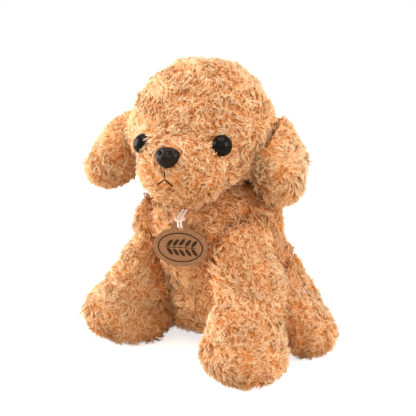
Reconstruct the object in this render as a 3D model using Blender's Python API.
"""Sitting plush dog: sewn plush covers over stuffing, with a turning head, hanging ears, four legs, a tail,
button eyes, a nose, a stitched mouth and an oval hang tag on a cord. The dog faces -Y and its left is +X."""

import math

import bmesh
import bpy
import numpy as np
from mathutils import Matrix, Vector

MM = 0.001

# Fits
GAP = 0.5 * MM             # air between a piece and what it rests on
SLIP = 0.3 * MM            # air around a shank in its hole
PLUSH = 5.0 * MM           # backing cloth with its pressed pile
BLEND = 4.0 * MM           # rounding where two swellings of one form meet
FLAT = 0.5 * MM            # depth of the flat that a form rests on

# Torso: a chest above a seat, with a belly that spreads at its foot
CHEST_WIDTH = 86 * MM       # also its depth, so that the head turns on it
CHEST_HEIGHT = 92 * MM
CHEST_LIFT = 90 * MM
CHEST_BACK = 4 * MM
SEAT_WIDTH = 98 * MM
SEAT_DEPTH = 90 * MM
SEAT_HEIGHT = 97 * MM
SEAT_BACK = 24 * MM
BELLY_WIDTH = 98 * MM
BELLY_DEPTH = 66 * MM
BELLY_HEIGHT = 35 * MM
BELLY_BACK = 15 * MM
NECK_HOLE = 36 * MM

# Head: a skull with a top-knot and a muzzle
HEAD_WIDTH = 89 * MM
HEAD_DEPTH = 83 * MM
HEAD_HEIGHT = 85 * MM
HEAD_RISE = 24 * MM        # head's middle above the chest's top
HEAD_FORWARD = 5 * MM
HEAD_YAW = 17.0            # degrees, towards the dog's left
KNOT_RISE = 5.5 * MM
KNOT_ASIDE = 4 * MM        # the top-knot was brushed towards the dog's left
KNOT_BACK = 2 * MM
KNOT_WIDTH = 89 * MM
KNOT_DEPTH = 80 * MM
KNOT_HEIGHT = 76 * MM
MUZZLE_WIDTH = 62 * MM
MUZZLE_DEPTH = 50 * MM
MUZZLE_HEIGHT = 50 * MM
MUZZLE_FORWARD = 36 * MM
MUZZLE_DROP = 20 * MM

# Ears
EAR_LENGTH = 68 * MM
EAR_BREADTH = 54 * MM
EAR_THICKNESS = 31 * MM
LEFT_EAR_RISE = 16 * MM    # seam's top above the head's middle, not quite alike on the two sides
RIGHT_EAR_RISE = 6 * MM
EAR_BACK = 6 * MM
EAR_SINK = 6 * MM          # hinge inside the head's widest line
LEFT_EAR_OPEN = 22.0       # degrees from hanging straight down
RIGHT_EAR_OPEN = 44.0

# Legs
FRONT_ROOT = 46 * MM
FRONT_SHANK = 44.5 * MM
FRONT_PAW_WIDTH = 52.5 * MM
FRONT_PAW_STRIDE = 11.4 * MM  # from the middle of the heel to that of the toes
FRONT_PAW_HEIGHT = 41 * MM
TOE_OUT = 41.0             # degrees that the front paws turn outward
FRONT_LIFT = 90 * MM
FRONT_REACH = 30 * MM      # paw in front of the dog's middle
FRONT_SPREAD = 55 * MM     # paw out from the dog's middle
HIND_ROOT = 52 * MM
HIND_PAW_WIDTH = 49 * MM
HIND_PAW_LENGTH = 54 * MM
HIND_PAW_HEIGHT = 45 * MM
HIND_LIFT = 50 * MM
HEEL_CLEAR = 5.75 * MM      # floor left between a front heel and a hind paw
HIND_BACK = HEEL_CLEAR + HIND_PAW_LENGTH / 2 + FRONT_PAW_WIDTH / 2 - FRONT_REACH
HIND_SPREAD = 64 * MM
KNEE_RISE = 11 * MM        # knee above the middle of the leg's height

# Tail
TAIL_LENGTH = 46 * MM
TAIL_THICKNESS = 30 * MM
TAIL_TILT = 35.0           # degrees back from upright

# Eyes and nose
EYE_WIDTH = 13 * MM
EYE_DOME = 5.5 * MM
LEFT_EYE_ASIDE = 27.6 * MM  # set by hand, so not quite alike on the two sides
LEFT_EYE_DROP = 3.4 * MM
RIGHT_EYE_ASIDE = 25.4 * MM
RIGHT_EYE_DROP = 4.6 * MM
EYE_SINK = 1.5 * MM
SHANK_WIDTH = 4.0 * MM
SHANK_LENGTH = 13 * MM
WASHER_WIDTH = 11 * MM
WASHER_THICK = 1.2 * MM
NOSE_WIDTH = 15 * MM
NOSE_HEIGHT = 12.5 * MM
NOSE_DOME = 6 * MM
NOSE_DROP = 8.4 * MM
RIM = 0.8 * MM

# Mouth thread, hanging below the nose
THREAD = 1.2 * MM
LIP_TOP = 16.8 * MM
LIP_END = 19.4 * MM
MOUTH_TOP = 21.2 * MM
MOUTH_END = 25.0 * MM
MOUTH_HALF = 4.9 * MM

# Hang tag and cord
TAG_WIDTH = 36 * MM
TAG_HEIGHT = 26.5 * MM
TAG_THICK = 1.2 * MM
TAG_DROP = 1.6 * MM        # tag's middle below the chest's middle
TAG_YAW = 12.0             # degrees to the dog's left, round the chest
TAG_FACING = 28.0          # degrees to the dog's left that it faces
TAG_STAND = 3.0 * MM       # tag's middle plane in front of the chest
TAB_WIDTH = 12 * MM
HOLE_WIDTH = 4.6 * MM
CORD = 1.5 * MM
CORD_RISE = 10 * MM        # cord's end above the tag's hole


def material(name, colour, roughness):
    made = bpy.data.materials.new(name)
    made.use_nodes = True
    shader = made.node_tree.nodes["Principled BSDF"]
    shader.inputs["Base Color"].default_value = (*colour, 1.0)
    shader.inputs["Roughness"].default_value = roughness
    return made


def out_of(points, lobes):
    """How far points lie outside the rounded union of ellipsoids, each a centre with its half sizes."""
    near = []
    for centre, half in lobes:
        scaled = (points - np.array(centre)) / np.array(half)
        near.append((np.linalg.norm(scaled, axis=1) - 1.0) * min(half))
    return -BLEND * np.log(np.exp(-np.array(near) / BLEND).sum(axis=0))


def reach(origin, directions, lobes, offset):
    """Where rays from inside a form meet its surface, moved out by the offset."""
    origin = np.array(origin)
    low = np.zeros(len(directions))
    high = np.full(len(directions), 0.3)
    for _ in range(40):
        middle = 0.5 * (low + high)
        inside = out_of(origin + directions * middle[:, None], lobes) < offset
        low = np.where(inside, middle, low)
        high = np.where(inside, high, middle)
    return origin + directions * low[:, None]


def form(lobes, origin, pole, segments, rings, offset=0.0, stretch=1.0):
    """A swelling body: a sphere whose points are moved out to the surface of the lobes."""
    made = bmesh.new()
    bmesh.ops.create_uvsphere(made, u_segments=segments, v_segments=rings, radius=1.0)
    turn = Vector((0, 0, 1)).rotation_difference(Vector(pole)).to_matrix().to_4x4()
    bmesh.ops.transform(made, matrix=turn @ Matrix.Diagonal((1, 1, stretch, 1)), verts=made.verts)
    bmesh.ops.triangulate(made, faces=made.faces, quad_method="FIXED")
    directions = np.array([vert.co.normalized() for vert in made.verts])
    for vert, point in zip(made.verts, reach(origin, directions, lobes, offset)):
        vert.co = point
    return made


def lathe(profile, steps):
    """A solid turned about Z from points of radius and height, which start and end on the axis."""
    made = bmesh.new()
    corners = [made.verts.new((radius, 0.0, height)) for radius, height in profile]
    edges = [made.edges.new(pair) for pair in zip(corners, corners[1:])]
    bmesh.ops.spin(made, geom=corners + edges, cent=(0, 0, 0), axis=(0, 0, 1), angle=math.tau, steps=steps,
                   use_merge=True)
    bmesh.ops.remove_doubles(made, verts=made.verts, dist=1e-7)
    bmesh.ops.recalc_face_normals(made, faces=made.faces)
    return made


def cut_flat(made, height):
    """Slices off what lies under a level and closes the cut with one flat face."""
    geometry = made.verts[:] + made.edges[:] + made.faces[:]
    found = bmesh.ops.bisect_plane(made, geom=geometry, plane_co=(0, 0, height), plane_no=(0, 0, -1),
                                   clear_outer=True)
    rim = [item for item in found["geom_cut"] if isinstance(item, bmesh.types.BMEdge)]
    bmesh.ops.contextual_create(made, geom=rim)


def moved(made, matrix):
    bmesh.ops.transform(made, matrix=matrix, verts=made.verts)
    return made


def mirrored(made):
    copy = made.copy()
    bmesh.ops.transform(copy, matrix=Matrix.Diagonal((-1, 1, 1, 1)), verts=copy.verts)
    bmesh.ops.reverse_faces(copy, faces=copy.faces)
    return copy


def stand(name, made, pivot=(0, 0, 0), slot=None):
    """Turns a bmesh in the dog's frame into an object whose origin lies on its joint."""
    pivot = Vector(pivot)
    bmesh.ops.transform(made, matrix=Matrix.Translation(-pivot), verts=made.verts)
    mesh = bpy.data.meshes.new(name)
    made.to_mesh(mesh)
    made.free()
    item = bpy.data.objects.new(name, mesh)
    bpy.context.scene.collection.objects.link(item)
    item.location = pivot
    item.parent = FRAME
    if slot:
        mesh.materials.append(slot)
    return item


def cutter(name, made):
    item = stand(name, made)
    item.hide_render = True
    item.display_type = "WIRE"
    return item


def carve(item, cutters):
    for tool in cutters:
        cut = item.modifiers.new("cut by " + tool.name, "BOOLEAN")
        cut.operation = "DIFFERENCE"
        cut.solver = "EXACT"
        cut.object = tool


def tube(name, points, width, pivot, slot, sides):
    """A round cord through points of the dog's frame."""
    pivot = Vector(pivot)
    curve = bpy.data.curves.new(name, "CURVE")
    curve.dimensions = "3D"
    curve.bevel_depth = width / 2
    curve.bevel_resolution = sides
    curve.use_fill_caps = True
    line = curve.splines.new("POLY")
    line.points.add(len(points) - 1)
    for knot, point in zip(line.points, points):
        knot.co = (*(Vector(point) - pivot), 1.0)
    item = bpy.data.objects.new(name, curve)
    bpy.context.scene.collection.objects.link(item)
    item.location = pivot
    item.parent = FRAME
    curve.materials.append(slot)
    return item


for old in list(bpy.data.objects):
    bpy.data.objects.remove(old, do_unlink=True)

FRAME = bpy.data.objects.new("dog", None)
bpy.context.scene.collection.objects.link(FRAME)

CURLY_PLUSH = material("curly_plush", (0.66, 0.33, 0.15), 0.95)
FIBREFILL = material("polyester_fibrefill", (0.86, 0.85, 0.82), 0.95)
BLACK_PLASTIC = material("black_gloss_plastic", (0.012, 0.010, 0.009), 0.12)
NOSE_PLASTIC = material("black_brown_plastic", (0.022, 0.014, 0.010), 0.3)
WASHER_PLASTIC = material("white_polythene", (0.80, 0.80, 0.78), 0.5)
MOUTH_THREAD = material("dark_brown_thread", (0.05, 0.028, 0.018), 0.85)
TAG_CARD = material("brown_card", (0.37, 0.20, 0.10), 0.7)
COTTON_CORD = material("pale_cotton_cord", (0.68, 0.52, 0.45), 0.9)

# Torso
chest = ((0.0, CHEST_BACK, CHEST_LIFT), (CHEST_WIDTH / 2, CHEST_WIDTH / 2, CHEST_HEIGHT / 2))
foot = BLEND * math.log(2) / 2 - FLAT    # two lobes that meet swell by twice the first term
seat = ((0.0, SEAT_BACK, SEAT_HEIGHT / 2 + foot), (SEAT_WIDTH / 2, SEAT_DEPTH / 2, SEAT_HEIGHT / 2))
belly = ((0.0, BELLY_BACK, BELLY_HEIGHT / 2 + foot), (BELLY_WIDTH / 2, BELLY_DEPTH / 2, BELLY_HEIGHT / 2))
torso_lobes = [chest, seat, belly]
chest_top = CHEST_LIFT + CHEST_HEIGHT / 2
head_lift = chest_top + HEAD_RISE
torso_middle = (0.0, (CHEST_BACK + SEAT_BACK) / 2, (CHEST_LIFT + SEAT_HEIGHT / 2) / 2)


def torso_form(segments, rings, offset):
    return form(torso_lobes, torso_middle, (0, 0, 1), segments, rings, offset)


torso_outside = torso_form(26, 15, 0.0)
cut_flat(torso_outside, 0.0)
torso_cover = stand("torso_cover", torso_outside, slot=CURLY_PLUSH)
torso_hollow = cutter("torso_hollow", torso_form(14, 9, -PLUSH))
neck_radius = NECK_HOLE / 2
neck_hole = lathe([(0, head_lift), (neck_radius, head_lift), (neck_radius, CHEST_LIFT), (0, CHEST_LIFT)], 20)
moved(neck_hole, Matrix.Translation((0, CHEST_BACK, 0)))
neck_cutter = cutter("neck_hole", neck_hole)
carve(torso_cover, [torso_hollow, neck_cutter])
stand("torso_filling", torso_form(14, 9, -PLUSH - GAP), slot=FIBREFILL)
torso_room = cutter("torso_room", torso_form(26, 15, GAP))

# Head, made in a frame of its own and turned to the dog's left
NECK = Vector((0.0, CHEST_BACK, chest_top))
head_middle = Vector((0.0, -HEAD_FORWARD, head_lift))
HEAD = Matrix.Translation(head_middle) @ Matrix.Rotation(math.radians(HEAD_YAW), 4, "Z")
skull = ((0.0, 0.0, 0.0), (HEAD_WIDTH / 2, HEAD_DEPTH / 2, HEAD_HEIGHT / 2))
top_knot = ((KNOT_ASIDE, KNOT_BACK, KNOT_RISE), (KNOT_WIDTH / 2, KNOT_DEPTH / 2, KNOT_HEIGHT / 2))
muzzle = ((0.0, -MUZZLE_FORWARD, -MUZZLE_DROP), (MUZZLE_WIDTH / 2, MUZZLE_DEPTH / 2, MUZZLE_HEIGHT / 2))
head_lobes = [skull, top_knot, muzzle]
head_core = (0.0, -MUZZLE_FORWARD / 4, -MUZZLE_DROP / 4)


def head_form(segments, rings, offset):
    return form(head_lobes, head_core, (0, 0, 1), segments, rings, offset)


def on_face(aside, drop):
    """The point of the face this far aside and below the head's middle, and the way out of it there."""
    ahead = reach((aside, 0.0, -drop), np.array([(0.0, -1.0, 0.0)]), head_lobes, 0.0)[0]
    step = 0.1 * MM * np.eye(3)
    slope = out_of(ahead + step, head_lobes) - out_of(ahead - step, head_lobes)
    return Vector(ahead), Vector(slope).normalized()


def facing(point, outward, sink):
    """The matrix that stands a turned piece on the face, its own up kept as near to Z as it goes."""
    aside = Vector((0, 0, 1)).cross(outward).normalized()
    upward = outward.cross(aside)
    turn = Matrix((aside, upward, outward)).transposed().to_4x4()
    return HEAD @ Matrix.Translation(point - outward * sink) @ turn


head_cover = stand("head_cover", moved(head_form(26, 16, 0.0), HEAD), NECK, CURLY_PLUSH)
head_hollow = cutter("head_hollow", moved(head_form(14, 10, -PLUSH), HEAD))
head_filling = stand("head_filling", moved(head_form(14, 10, -PLUSH - GAP), HEAD), NECK, FIBREFILL)
head_room = cutter("head_room", moved(head_form(26, 16, GAP), HEAD))
neck_room = cutter("neck_room", form([chest], chest[0], (0, 0, 1), 26, 16, GAP + SLIP))
carve(head_cover, [head_hollow, neck_room])
carve(head_filling, [neck_room])


def dome(width, height, steps):
    """Profile of a dome from its top down to its rim."""
    return [(width / 2 * math.sin(turn), height * math.cos(turn))
            for turn in (math.pi / 2 * step / steps for step in range(steps + 1))]


def shanked(width, height):
    """Profile of a domed button whose shank goes through the cover to a washer inside."""
    shank = SHANK_WIDTH / 2
    below = [(width / 2, -RIM), (shank, -RIM), (shank, -SHANK_LENGTH), (0, -SHANK_LENGTH)]
    return dome(width, height, 5) + below


def button_room(width, sink):
    """Profile of the hole that a button, its shank and its washer need in a cover."""
    wide = width / 2 + SLIP
    bore = SHANK_WIDTH / 2 + SLIP
    inner = WASHER_WIDTH / 2 + GAP
    seat = sink - PLUSH - GAP
    deep = 2 * SHANK_LENGTH
    return [(0, deep), (wide, deep), (wide, -RIM - SLIP), (bore, -RIM - SLIP), (bore, seat), (inner, seat),
            (inner, -deep), (0, -deep)]


def washer_room(sink):
    """Profile of the hole that a washer and the shank's end need in the stuffing."""
    wide = WASHER_WIDTH / 2 + GAP
    bore = SHANK_WIDTH / 2 + SLIP
    under = -(PLUSH - sink) - 2 * GAP - WASHER_THICK - GAP
    deep = -SHANK_LENGTH - GAP
    return [(0, 0), (wide, 0), (wide, under), (bore, under), (bore, deep), (0, deep)]


def washer(sink):
    """A ring locked on the shank just inside the cover."""
    top = -(PLUSH - sink) - 2 * GAP
    outer = WASHER_WIDTH / 2
    bore = SHANK_WIDTH / 2 + SLIP
    bottom = top - WASHER_THICK
    made = bmesh.new()
    profile = ((bore, top), (outer, top), (outer, bottom), (bore, bottom))
    corners = [made.verts.new((radius, 0.0, height)) for radius, height in profile]
    edges = [made.edges.new((corners[index], corners[(index + 1) % 4])) for index in range(4)]
    bmesh.ops.spin(made, geom=corners + edges, cent=(0, 0, 0), axis=(0, 0, 1), angle=math.tau, steps=14,
                   use_merge=True)
    bmesh.ops.recalc_face_normals(made, faces=made.faces)
    return made


for side, aside, drop in (("left", LEFT_EYE_ASIDE, LEFT_EYE_DROP), ("right", -RIGHT_EYE_ASIDE, RIGHT_EYE_DROP)):
    spot, outward = on_face(aside, drop)
    place = facing(spot, outward, EYE_SINK)
    button = lathe(shanked(EYE_WIDTH, EYE_DOME), 16)
    stand(f"{side}_eye", moved(button, place), NECK, BLACK_PLASTIC)
    stand(f"{side}_eye_washer", moved(washer(EYE_SINK), place), NECK, WASHER_PLASTIC)
    eye_room = moved(lathe(button_room(EYE_WIDTH, EYE_SINK), 16), place)
    carve(head_cover, [cutter(f"{side}_eye_room", eye_room)])
    eye_lock_room = moved(lathe(washer_room(EYE_SINK), 14), place)
    carve(head_filling, [cutter(f"{side}_washer_room", eye_lock_room)])


def triangular(made, extra):
    """Draws a round button into a rounded triangle, flat above and pointed below, round its shank."""
    for vert in made.verts:
        radius = math.hypot(vert.co.x, vert.co.y)
        if radius > SHANK_WIDTH / 2 + SLIP + 1e-6 and vert.co.z > -2 * RIM:
            turn = math.atan2(vert.co.x, vert.co.y)
            swell = 1.0 - 0.1 * math.cos(3 * turn) + extra
            vert.co.x *= swell
            vert.co.y *= swell * NOSE_HEIGHT / NOSE_WIDTH
    return made


spot, outward = on_face(0.0, NOSE_DROP)
place = facing(spot, outward, EYE_SINK)
button = triangular(lathe(shanked(NOSE_WIDTH, NOSE_DOME), 20), 0.0)
stand("nose", moved(button, place), NECK, NOSE_PLASTIC)
stand("nose_washer", moved(washer(EYE_SINK), place), NECK, WASHER_PLASTIC)
nose_room = triangular(lathe(button_room(NOSE_WIDTH, EYE_SINK), 20), 0.02)
carve(head_cover, [cutter("nose_room", moved(nose_room, place))])
carve(head_filling, [cutter("nose_washer_room", moved(lathe(washer_room(EYE_SINK), 14), place))])

# Mouth: a straight thread down from the nose and a bent one under it
stitch_out = THREAD / 2 + SLIP / 2


def stitch(aside, drop):
    spot, outward = on_face(aside, drop)
    return HEAD @ (spot + outward * stitch_out)


lip = [stitch(0.0, LIP_TOP + (LIP_END - LIP_TOP) * part / 2) for part in range(3)]
tube("lip_thread", lip, THREAD, NECK, MOUTH_THREAD, 1)
mouth = [stitch(MOUTH_HALF * part / 3, MOUTH_TOP + (MOUTH_END - MOUTH_TOP) * abs(part) / 3)
         for part in range(-3, 4)]
tube("mouth_thread", mouth, THREAD, NECK, MOUTH_THREAD, 1)

# Ears: flaps that hang from a seam at the side of the head
ear_lobes = [
    ((0.0, 0.0, -0.36 * EAR_LENGTH), (0.40 * EAR_THICKNESS, 0.42 * EAR_BREADTH, 0.38 * EAR_LENGTH)),
    ((0.0, 0.0, -0.58 * EAR_LENGTH), (0.50 * EAR_THICKNESS, 0.50 * EAR_BREADTH, 0.40 * EAR_LENGTH)),
]
EAR_HINGE = {}
for side, sign, rise, opening in (("left", 1, LEFT_EAR_RISE, LEFT_EAR_OPEN),
                                  ("right", -1, RIGHT_EAR_RISE, RIGHT_EAR_OPEN)):
    seam = Vector((sign * (HEAD_WIDTH / 2 - EAR_SINK), EAR_BACK, rise))
    hang = HEAD @ Matrix.Translation(seam) @ Matrix.Rotation(math.radians(-sign * opening), 4, "Y")
    flap = form(ear_lobes, (0, 0, -0.48 * EAR_LENGTH), (0, 0, 1), 16, 11, 0.0, 1.3)
    EAR_HINGE[side] = HEAD @ (seam + Vector((0, 0, 0.07 * EAR_LENGTH)))
    ear = stand(f"{side}_ear", moved(flap, hang), EAR_HINGE[side], CURLY_PLUSH)
    carve(ear, [head_room])

# Front legs
shoulder_in = 0.41 * CHEST_WIDTH
elbow_in = 0.62 * shoulder_in + 0.38 * FRONT_SPREAD
wrist_in = 0.27 * shoulder_in + 0.73 * FRONT_SPREAD
toe_way = (math.sin(math.radians(TOE_OUT)), -math.cos(math.radians(TOE_OUT)))
paw_level = FRONT_PAW_HEIGHT / 2 + 0.58 * BLEND - FLAT
paw_half = (FRONT_PAW_WIDTH / 2, FRONT_PAW_WIDTH / 2, FRONT_PAW_HEIGHT / 2)
front_lobes = [
    ((shoulder_in, -0.10 * CHEST_WIDTH, FRONT_LIFT), (FRONT_ROOT / 2,) * 3),
    ((elbow_in, -0.55 * FRONT_REACH, 0.72 * FRONT_LIFT), (FRONT_SHANK / 2,) * 3),
    ((wrist_in, -0.82 * FRONT_REACH, 0.48 * FRONT_LIFT), (FRONT_SHANK / 2,) * 3),
]
for share in (-0.5, 0.5):
    front_lobes.append(((FRONT_SPREAD + share * FRONT_PAW_STRIDE * toe_way[0],
                         -FRONT_REACH + share * FRONT_PAW_STRIDE * toe_way[1], paw_level), paw_half))
knee_in = 0.18 * SEAT_WIDTH + 0.5 * HIND_SPREAD
knee_back = 0.7 * SEAT_BACK + 0.5 * HIND_BACK
hind_lobes = [
    ((0.36 * SEAT_WIDTH, 1.4 * SEAT_BACK, HIND_LIFT), (HIND_ROOT / 2,) * 3),
    ((knee_in, knee_back, 0.5 * HIND_LIFT + KNEE_RISE), (HIND_ROOT / 2,) * 3),
    ((HIND_SPREAD, HIND_BACK, HIND_PAW_HEIGHT / 2 - FLAT),
     (HIND_PAW_WIDTH / 2, HIND_PAW_LENGTH / 2, HIND_PAW_HEIGHT / 2)),
]


def mean_of(lobes):
    return tuple(np.mean([centre for centre, half in lobes], axis=0))


def leg(name, lobes, hinge):
    """A stuffed leg in its cover on either side of the torso, open where it is sewn on."""
    down = tuple(np.array(lobes[-1][0]) - np.array(lobes[0][0]))
    middle = mean_of(lobes)
    for side, mirror in (("left", False), ("right", True)):
        outside = form(lobes, middle, down, 20, 12, 0.0, 1.5)
        cut_flat(outside, 0.0)
        inside = form(lobes, middle, down, 12, 8, -PLUSH, 1.5)
        filling = form(lobes, middle, down, 12, 8, -PLUSH - GAP, 1.5)
        if mirror:
            outside, inside, filling = mirrored(outside), mirrored(inside), mirrored(filling)
        pivot = (-hinge[0] if mirror else hinge[0], hinge[1], hinge[2])
        cover = stand(f"{side}_{name}_cover", outside, pivot, CURLY_PLUSH)
        carve(cover, [cutter(f"{side}_{name}_hollow", inside), torso_room])
        stuffing = stand(f"{side}_{name}_filling", filling, pivot, FIBREFILL)
        carve(stuffing, [torso_room])


FRONT_HINGE = (0.72 * shoulder_in, -0.10 * CHEST_WIDTH, FRONT_LIFT + FRONT_ROOT / 2)
HIND_HINGE = (0.30 * SEAT_WIDTH, 1.4 * SEAT_BACK, HIND_LIFT + HIND_ROOT / 2)
leg("front_leg", front_lobes, FRONT_HINGE)
leg("hind_leg", hind_lobes, HIND_HINGE)

# Tail, sewn on at the back, which folds away from the back about the lower end of its seam
tail_root = Vector((0.0, SEAT_BACK + 0.46 * SEAT_DEPTH, 0.66 * SEAT_HEIGHT))
lean = math.radians(TAIL_TILT)
tail_way = Vector((0.0, math.sin(lean), math.cos(lean)))
tail_middle = tail_root + tail_way * (0.42 * TAIL_LENGTH)
tail_lobes = [(tuple(tail_root + tail_way * (share * TAIL_LENGTH)), (thick * TAIL_THICKNESS,) * 3)
              for share, thick in ((0.18, 0.40), (0.48, 0.46), (0.70, 0.40))]
tail_low = tail_lobes[0][0][2] - tail_lobes[0][1][2]
TAIL_HINGE = Vector(reach((0.0, SEAT_BACK, tail_low), np.array([(0.0, 1.0, 0.0)]), torso_lobes, GAP)[0])


def tail_form(segments, rings, offset):
    return form(tail_lobes, tail_middle, tail_way, segments, rings, offset, 1.2)


tail_cover = stand("tail_cover", tail_form(14, 9, 0.0), TAIL_HINGE, CURLY_PLUSH)
tail_hollow = cutter("tail_hollow", tail_form(10, 7, -PLUSH))
carve(tail_cover, [tail_hollow, torso_room])
tail_filling = stand("tail_filling", tail_form(10, 7, -PLUSH - GAP), TAIL_HINGE, FIBREFILL)
carve(tail_filling, [torso_room])

# Hang tag: an oval card with a tab, in front of the chest
yaw = math.radians(TAG_YAW)
facing_yaw = Matrix.Rotation(math.radians(TAG_FACING), 4, "Z")
tag_front = Vector((math.sin(yaw), -math.cos(yaw), 0.0))
tag_middle = Vector((0, CHEST_BACK, CHEST_LIFT - TAG_DROP)) + tag_front * (CHEST_WIDTH / 2 + TAG_STAND)
TAG = Matrix.Translation(tag_middle) @ facing_yaw
hole_rise = TAG_HEIGHT / 2
card = bmesh.new()
rim = []
for step in range(64):
    turn = math.tau * step / 64
    x = TAG_WIDTH / 2 * math.sin(turn)
    z = TAG_HEIGHT / 2 * math.cos(turn)
    beside = abs(x) / (TAB_WIDTH / 2)
    if z > 0 and beside < 1:
        z = max(z, hole_rise + TAB_WIDTH / 2 * math.sqrt(1 - beside * beside) * 0.85)
    rim.append(card.verts.new((x, -TAG_THICK / 2, z)))
front = card.faces.new(rim)
pushed = bmesh.ops.extrude_face_region(card, geom=[front])
bmesh.ops.translate(card, vec=(0, TAG_THICK, 0), verts=[item for item in pushed["geom"]
                                                       if isinstance(item, bmesh.types.BMVert)])
bmesh.ops.recalc_face_normals(card, faces=card.faces)
exit_rise = hole_rise + CORD_RISE - TAG_DROP
chest_radius = CHEST_WIDTH / 2 * math.sqrt(1 - (exit_rise / (CHEST_HEIGHT / 2)) ** 2)
exit_point = Vector((0, CHEST_BACK, CHEST_LIFT + exit_rise)) + tag_front * (chest_radius + CORD / 2 + GAP)
tag_card = stand("tag_card", moved(card, TAG), exit_point, TAG_CARD)
through = 4 * TAG_THICK
hole = lathe([(0, through), (HOLE_WIDTH / 2, through), (HOLE_WIDTH / 2, -through), (0, -through)], 16)
moved(hole, TAG @ Matrix.Translation((0, 0, hole_rise)) @ Matrix.Rotation(math.pi / 2, 4, "X"))
carve(tag_card, [cutter("tag_hole", hole)])

# Cord: both strands hang from under the chin, go down through the hole, up behind the tab and over it as a
# loop that holds them
near = TAG_THICK / 2 + CORD / 2 + SLIP
far = near + CORD + SLIP
strand = CORD / 2 + SLIP / 2
tab_top = 0.85 * TAB_WIDTH / 2
half = [
    (strand, -near, tab_top + CORD),
    (strand, -near, 0.5 * tab_top),
    (strand, -0.55 * near, 0.10 * tab_top),
    (strand, 0.55 * near, 0.10 * tab_top),
    (1.3 * strand, near, 0.35 * tab_top),
    (2.4 * strand, near, 0.85 * tab_top),
    (2.9 * strand, 0.6 * near, tab_top + 0.7 * CORD),
    (2.9 * strand, -0.6 * near, tab_top + 0.8 * CORD),
    (2.6 * strand, -0.8 * far, tab_top + 0.6 * CORD),
    (1.6 * strand, -far, tab_top + 0.4 * CORD),
]
hole_place = TAG @ Matrix.Translation((0, 0, hole_rise))
knot_way = [hole_place @ Vector(point) for point in half]
back_way = [hole_place @ Vector((-x, y, z)) for x, y, z in reversed(half)]
side_way = facing_yaw @ Vector((1, 0, 0))
first = [exit_point + side_way * strand, exit_point.lerp(knot_way[0], 0.5) + side_way * (0.6 * strand)]
last = [exit_point.lerp(back_way[-1], 0.5) - side_way * (0.6 * strand), exit_point - side_way * strand]
tube("tag_cord", first + knot_way + back_way + last, CORD, exit_point, COTTON_CORD, 1)

# The origin goes to the middle of the finished dog's foot print
bpy.context.view_layer.update()
graph = bpy.context.evaluated_depsgraph_get()
corners = []
for item in bpy.data.objects:
    if item.type in {"MESH", "CURVE"} and not item.hide_render:
        whole = item.evaluated_get(graph)
        mesh = whole.to_mesh()
        corners += [whole.matrix_world @ vert.co for vert in mesh.vertices]
        whole.to_mesh_clear()
low = [min(corner[axis] for corner in corners) for axis in range(3)]
high = [max(corner[axis] for corner in corners) for axis in range(3)]
FRAME.location = (-(low[0] + high[0]) / 2, -(low[1] + high[1]) / 2, -low[2])
bpy.context.view_layer.update()

joints = {"neck": NECK, "front_left": FRONT_HINGE, "hind_left": HIND_HINGE, "tail": TAIL_HINGE,
          "tag": exit_point}
for name, point in joints.items():
    print("joint", name, [round(value, 5) for value in FRAME.matrix_world @ Vector(point)])
for side, hinge in EAR_HINGE.items():
    print("joint", side, "ear", [round(value, 5) for value in FRAME.matrix_world @ hinge])
print("axis ears", [round(value, 5) for value in HEAD.to_3x3() @ Vector((0, 1, 0))])
print("axis tag", [round(value, 5) for value in side_way])
print("size", [round(top - bottom, 5) for top, bottom in zip(high, low)], "shift", list(FRAME.location))
